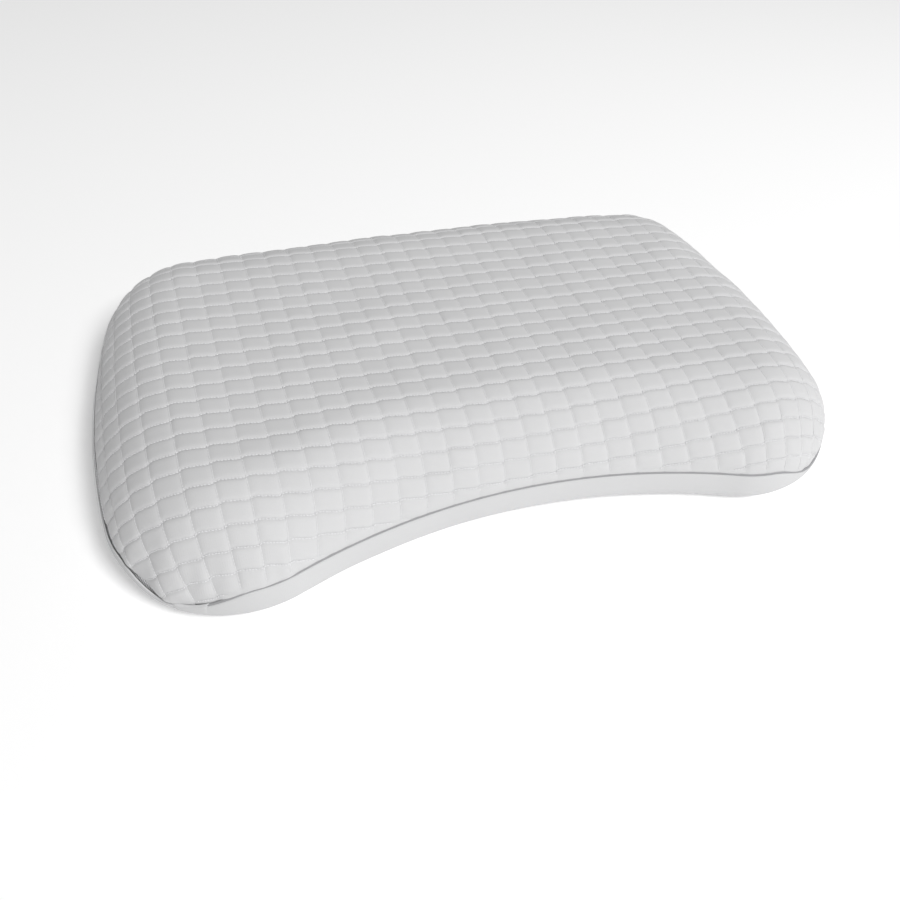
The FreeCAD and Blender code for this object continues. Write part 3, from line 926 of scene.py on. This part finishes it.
ZIP_SHARE = math.radians(56.0) / abs(ARCS["left_front"].span)
BACK_RUN = abs(ARCS["back"].span) * ARCS["back"].radius
CHAIN_FROM = CHAIN_GAP / BACK_RUN
ZIP_PARTS = [
    ("back", CHAIN_FROM, 1.0),
    ("left_back", 0.0, 1.0),
    ("left_end", 0.0, 1.0),
    ("left_front", 0.0, ZIP_SHARE),
]
SEWN_PARTS = [
    ("left_front", ZIP_SHARE + SEWN_AFTER, 1.0),
    ("front", 0.0, 1.0),
    ("right_front", 0.0, 1.0),
    ("right_end", 0.0, 1.0),
    ("right_back", 0.0, 1.0),
]
STOP_ROUTE = [
    (ARCS["left_front"], ZIP_SHARE + STOP_AFTER + STOP_STEP * i) for i in range(STOP_POINTS)
]


def coil(name, side, *nodes):
    """One side of the nylon coil: a row of small loops, each bent over the chain's middle."""
    stations = route_between(ZIP_PARTS, COIL_PITCH)
    if side < 0:        # half a loop along, so that the two sides alternate
        half = 0.5 * COIL_PITCH
        stations = [(arc, share + half / (abs(arc.span) * arc.radius)) for arc, share in stations]
    seam = seam_line(stations)
    rings = [on_face(stations, seam - side * up, -(COIL_DEPTH + down))[0] for up, down in COIL_LOOP]
    along = np.gradient(rings[0], axis=0)
    along /= np.linalg.norm(along, axis=1)[:, None]
    verts = []
    for k, points in enumerate(rings):
        ahead = rings[min(k + 1, len(rings) - 1)] - rings[max(k - 1, 0)]
        ahead /= np.linalg.norm(ahead, axis=1)[:, None]
        out = np.cross(along, ahead)
        out /= np.linalg.norm(out, axis=1)[:, None]
        for j in range(COIL_SIDES):
            a = 2 * math.pi * j / COIL_SIDES
            verts.append(points + (along * math.cos(a) + out * math.sin(a)) * COIL_THICK)
    verts = np.stack(verts, 1)
    faces = repeated(tube_faces(len(COIL_LOOP), COIL_SIDES), len(stations), verts.shape[1])
    obj = make_mesh(name, verts.reshape(-1, 3), faces)
    face_up(obj)
    return dress(obj, "zip_coil", *nodes)


def ribbon(name, route, low, high, depth, thick, slot, *nodes):
    """A flat woven band behind the seam, low to high either side of its middle."""
    seam = seam_line(route)
    rings = []
    back = depth + thick
    for up, down in ((low, depth), (high, depth), (high, back), (low, back)):
        rings.append(on_face(route, seam - up, -down)[0])
    count = len(route)
    faces = []
    for k in range(4):
        a, b = k * count, (k + 1) % 4 * count
        faces += [[a + i, a + i + 1, b + i + 1, b + i] for i in range(count - 1)]
    faces.append([k * count for k in range(4)])
    faces.append([k * count - 1 for k in (4, 3, 2, 1)])
    obj = make_mesh(name, np.concatenate(rings), faces, shaded_smooth=False)
    face_up(obj)
    return dress(obj, slot, *nodes)


def topstitch():
    starts, ends, normals = [], [], []
    stations = route_between(ZIP_PARTS[:3], TOPSTITCH_STEP)
    for side in (-1, 1):
        s = np.full(len(stations), SEAM_S) - side * TOPSTITCH_REACH
        points, normal = on_face(stations, s, TOPSTITCH_LIFT[side])
        gap = (points[1:] - points[:-1]) * TOPSTITCH_GAP
        starts.append(points[:-1] + gap)
        ends.append(points[1:] - gap)
        normals.append(normal[:-1])
    starts, ends, normals = (np.concatenate(x) for x in (starts, ends, normals))
    return stitches(
        "topstitch", starts, ends, normals, TOPSTITCH_RADIUS, "stitch_thread", "zipper_stitching"
    )


def thick_sheet(name, front, back, columns, rows):
    """A thin closed piece from the points of its two faces, column by column."""
    n = len(front)
    faces = []
    for i in range(columns - 1):
        for j in range(rows - 1):
            a, b, c, d = i * rows + j, (i + 1) * rows + j, (i + 1) * rows + j + 1, i * rows + j + 1
            faces += [[a, b, c, d], [n + d, n + c, n + b, n + a]]
    border = list(range(rows))
    border += [i * rows + rows - 1 for i in range(1, columns)]
    border += [(columns - 1) * rows + j for j in range(rows - 2, -1, -1)]
    border += [i * rows for i in range(columns - 2, 0, -1)]
    for a, b in zip(border, border[1:] + border[:1]):
        faces.append([a, b, n + b, n + a])
    obj = make_mesh(name, front + back, faces)
    face_up(obj)
    return obj


def patch():
    """The garage: a small turned-edge cloth patch over the closed end of the chain."""
    arc = ARCS["left_front"]
    half = GARAGE_HALF / abs(arc.span)
    columns, rows = GARAGE_COLUMNS, GARAGE_ROWS
    shares = np.linspace(ZIP_SHARE - half, ZIP_SHARE + half, columns)
    ups = np.linspace(GARAGE_UP, GARAGE_DOWN, rows)
    front, back = [], []
    for i, share in enumerate(shares):
        edge_i = min(i, columns - 1 - i) / GARAGE_EDGE
        for j, up in enumerate(ups):
            edge = min(1.0, edge_i, min(j, rows - 1 - j) / GARAGE_EDGE)
            rise = GARAGE_SUNK + GARAGE_RISE * float(smooth(edge))
            place = seam_line([(arc, share)]) - up
            top, _ = on_face([(arc, share)], place, rise)
            low, _ = on_face([(arc, share)], place, rise - GARAGE_T)
            front.append(top[0])
            back.append(low[0])
    obj = thick_sheet("zip_garage", front, back, columns, rows)
    return dress(obj, "plain_knit", "zipper_garage")


def care_label():
    """A blank tag hanging from the right end's seam."""
    low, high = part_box("care_label")
    low, high = np.array(low), np.array(high)
    columns, rows = LABEL_COLUMNS, LABEL_ROWS
    sheets = [], []
    for points, out in zip(sheets, (0.0, LABEL_T)):
        for i in range(columns):
            for j in range(rows):
                u, v = i / (columns - 1), j / (rows - 1)
                y = low[1] + (high[1] - low[1]) * u
                z = high[2] - (high[2] - low[2]) * v
                x = high[0] - LABEL_INSET + LABEL_CURL * v * math.sin(3.0 * u + 0.6) - out
                points.append((x, y, z))
    obj = thick_sheet("care_label_cloth", *sheets, columns, rows)
    return dress(obj, "label_cloth", "care_label")


def rounded_copy(node, body, name):
    """The CAD's metal part with its edges broken."""
    source = frame["nodes"][node]
    obj = bpy.data.objects.new(name, source.data.copy())
    bpy.context.scene.collection.objects.link(obj)
    bm = bmesh.new()
    bm.from_mesh(obj.data)
    bmesh.ops.remove_doubles(bm, verts=bm.verts, dist=TINY)
    bm.to_mesh(obj.data)
    bm.free()
    bevel = obj.modifiers.new("edges", "BEVEL")
    bevel.width = EDGE_ROUND
    bevel.segments = 3
    bevel.limit_method = "ANGLE"
    bevel.angle_limit = math.radians(40)
    obj.data.materials.clear()
    obj.data.materials.append(MATERIALS["zip_metal"])
    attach(obj, body)
    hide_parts(node)
    return obj


def carried_over():
    """CAD nodes that stay get the material of their own slot."""
    slots = {row["node"]: row["material_slot"] for row in frame["record"]["subparts"]}
    for node, obj in frame["nodes"].items():
        material = MATERIALS[slots[node]]
        if obj.material_slots:
            for holder in obj.material_slots:
                holder.material = material
        else:
            obj.data.materials.append(material)


# ---- stage
def stage():
    bpy.ops.mesh.primitive_plane_add(size=FLOOR_SIZE, location=(0, 0, -FLOOR_DROP))
    floor = bpy.context.object
    floor.name = "floor"
    material, _, shader = new_material("floor", (0.96, 0.96, 0.96), 0.9)
    shader.inputs["Specular IOR Level"].default_value = 0.1
    shader.inputs["Emission Color"].default_value = (1, 1, 1, 1)
    shader.inputs["Emission Strength"].default_value = FLOOR_GLOW
    floor.data.materials.append(material)
    floor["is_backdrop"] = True
    world = bpy.data.worlds.new("studio")
    world.use_nodes = True
    sky = world.node_tree.nodes["Background"]
    sky.inputs["Color"].default_value = (1, 1, 1, 1)
    sky.inputs["Strength"].default_value = SKY_LIGHT
    bpy.context.scene.world = world
    bpy.context.scene.view_settings.view_transform = "Standard"
    lamp("key", KEY_PLACE, KEY_SIZE, KEY_POWER)


def lamp(name, place, size, power):
    data = bpy.data.lights.new(name, "AREA")
    data.size = size
    data.energy = power
    obj = bpy.data.objects.new(name, data)
    obj.location = place
    obj.rotation_euler = (-Vector(place)).to_track_quat("-Z", "Y").to_euler()
    bpy.context.scene.collection.objects.link(obj)


def camera():
    a, e, roll = (math.radians(x) for x in (CAMERA_AZIMUTH, CAMERA_ELEVATION, CAMERA_ROLL))
    back = Vector((math.sin(a) * math.cos(e), -math.cos(a) * math.cos(e), math.sin(e)))
    right = Vector((0, 0, 1)).cross(back).normalized()
    up = back.cross(right)
    turned_right = right * math.cos(roll) + up * math.sin(roll)
    turned_up = -right * math.sin(roll) + up * math.cos(roll)
    data = bpy.data.cameras.new("camera")
    data.sensor_width = SENSOR
    data.lens = SENSOR * FOCAL_SHARE
    data.shift_x, data.shift_y = CAMERA_SHIFT
    obj = bpy.data.objects.new("camera", data)
    axes = Matrix((turned_right, turned_up, back)).transposed()
    obj.matrix_world = Matrix.Translation(CAMERA_PLACE) @ axes.to_4x4()
    bpy.context.scene.collection.objects.link(obj)
    bpy.context.scene.camera = obj


carried_over()
top_panel()
bottom_panel()
quilt_threads(
    "quilt_thread_lengthwise", True, 0.0024, 0.00034, 0.00022, "quilting_thread_lengthwise"
)
quilt_threads(
    "quilt_thread_crosswise", False, 0.0026, 0.00022, 0.0, "quilting_thread_crosswise"
)
# the seam cord, coloured dark as painted shade for the shadow line in the seam
tube_round(
    "seam_cord_painted_shade",
    route_between(SEWN_PARTS, ROUTE_STEP),
    CORD_DEPTH,
    CORD_RADIUS,
    "welt_cloth",
    "seam_welt",
)
coil("coil_upper", 1, "zipper_coil_upper")
coil("coil_lower", -1, "zipper_coil_lower")
for side, low, high in (("upper", TAPE_NEAR, TAPE_REACH), ("lower", -TAPE_REACH, -TAPE_NEAR)):
    ribbon(
        "tape_" + side,
        route_between(ZIP_PARTS, ROUTE_STEP),
        low,
        high,
        TAPE_DEPTH,
        TAPE_T,
        "zip_tape",
        "zipper_tape_" + side,
    )
ribbon(
    "bottom_stop",
    STOP_ROUTE,
    -STOP_REACH,
    STOP_REACH,
    COIL_DEPTH,
    STOP_T,
    "zip_metal",
    "zipper_bottom_stop",
)
topstitch()
patch()
care_label()
rounded_copy("zipper_slider", "slider", "slider_metal")
rounded_copy("zipper_pull", "pull", "pull_metal")
stage()
camera()

low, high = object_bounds()
